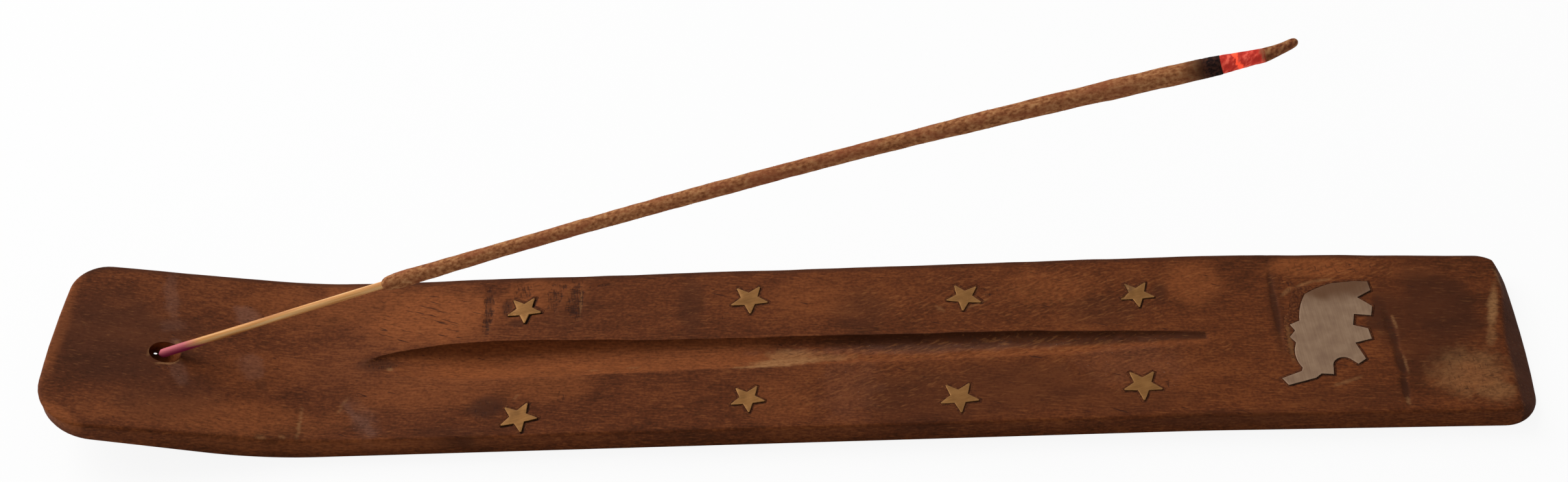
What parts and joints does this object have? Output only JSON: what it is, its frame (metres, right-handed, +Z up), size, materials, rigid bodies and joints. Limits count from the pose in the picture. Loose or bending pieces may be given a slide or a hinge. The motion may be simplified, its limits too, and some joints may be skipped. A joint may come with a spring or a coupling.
{
  "type": "incense stick holder",
  "caption": "Long flat wooden tray with an upturned drilled end that holds a leaning incense stick over an ash groove, with brass stars and a white metal elephant inlaid flush in the top.",
  "frame": {"origin": "centre of the board's outline, on the surface that it lies on", "axes": "+X along the board from the drilled upturned end to the inlaid elephant, +Y to the back of the board, +Z up"},
  "size_m": [0.255, 0.0373, 0.0727],
  "materials": {
    "stained_wood": "stained and lightly waxed, worn at the edges",
    "star_brass": "dull sanded",
    "white_metal": "brushed",
    "dark_filler": "matt, rough",
    "bamboo": "bare split bamboo, foot dyed pink",
    "incense_paste": "matt powdery paste",
    "char": "burnt black",
    "ember": "glowing",
    "ash": "crumbly"
  },
  "bodies": {
    "holder": {"wooden_tray": "stained_wood", "star_inlay_back_1": "star_brass", "star_inlay_back_2": "star_brass", "star_inlay_back_3": "star_brass", "star_inlay_back_4": "star_brass", "star_inlay_front_1": "star_brass", "star_inlay_front_2": "star_brass", "star_inlay_front_3": "star_brass", "star_inlay_front_4": "star_brass", "star_bed_back_1": "dark_filler", "star_bed_back_2": "dark_filler", "star_bed_back_3": "dark_filler", "star_bed_back_4": "dark_filler", "star_bed_front_1": "dark_filler", "star_bed_front_2": "dark_filler", "star_bed_front_3": "dark_filler", "star_bed_front_4": "dark_filler", "elephant_inlay": "white_metal", "elephant_bed": "dark_filler"},
    "stick": {"bamboo_core": "bamboo", "incense_coat": "incense_paste", "char_ring": "char", "ember": "ember", "ash_tip": "ash"}
  },
  "joints": [
    {"name": "stick_pull", "type": "slide", "parent": "holder", "child": "stick", "axis": [0.9367, 0, 0.3502], "range_m": [0, 0.06]}
  ]
}
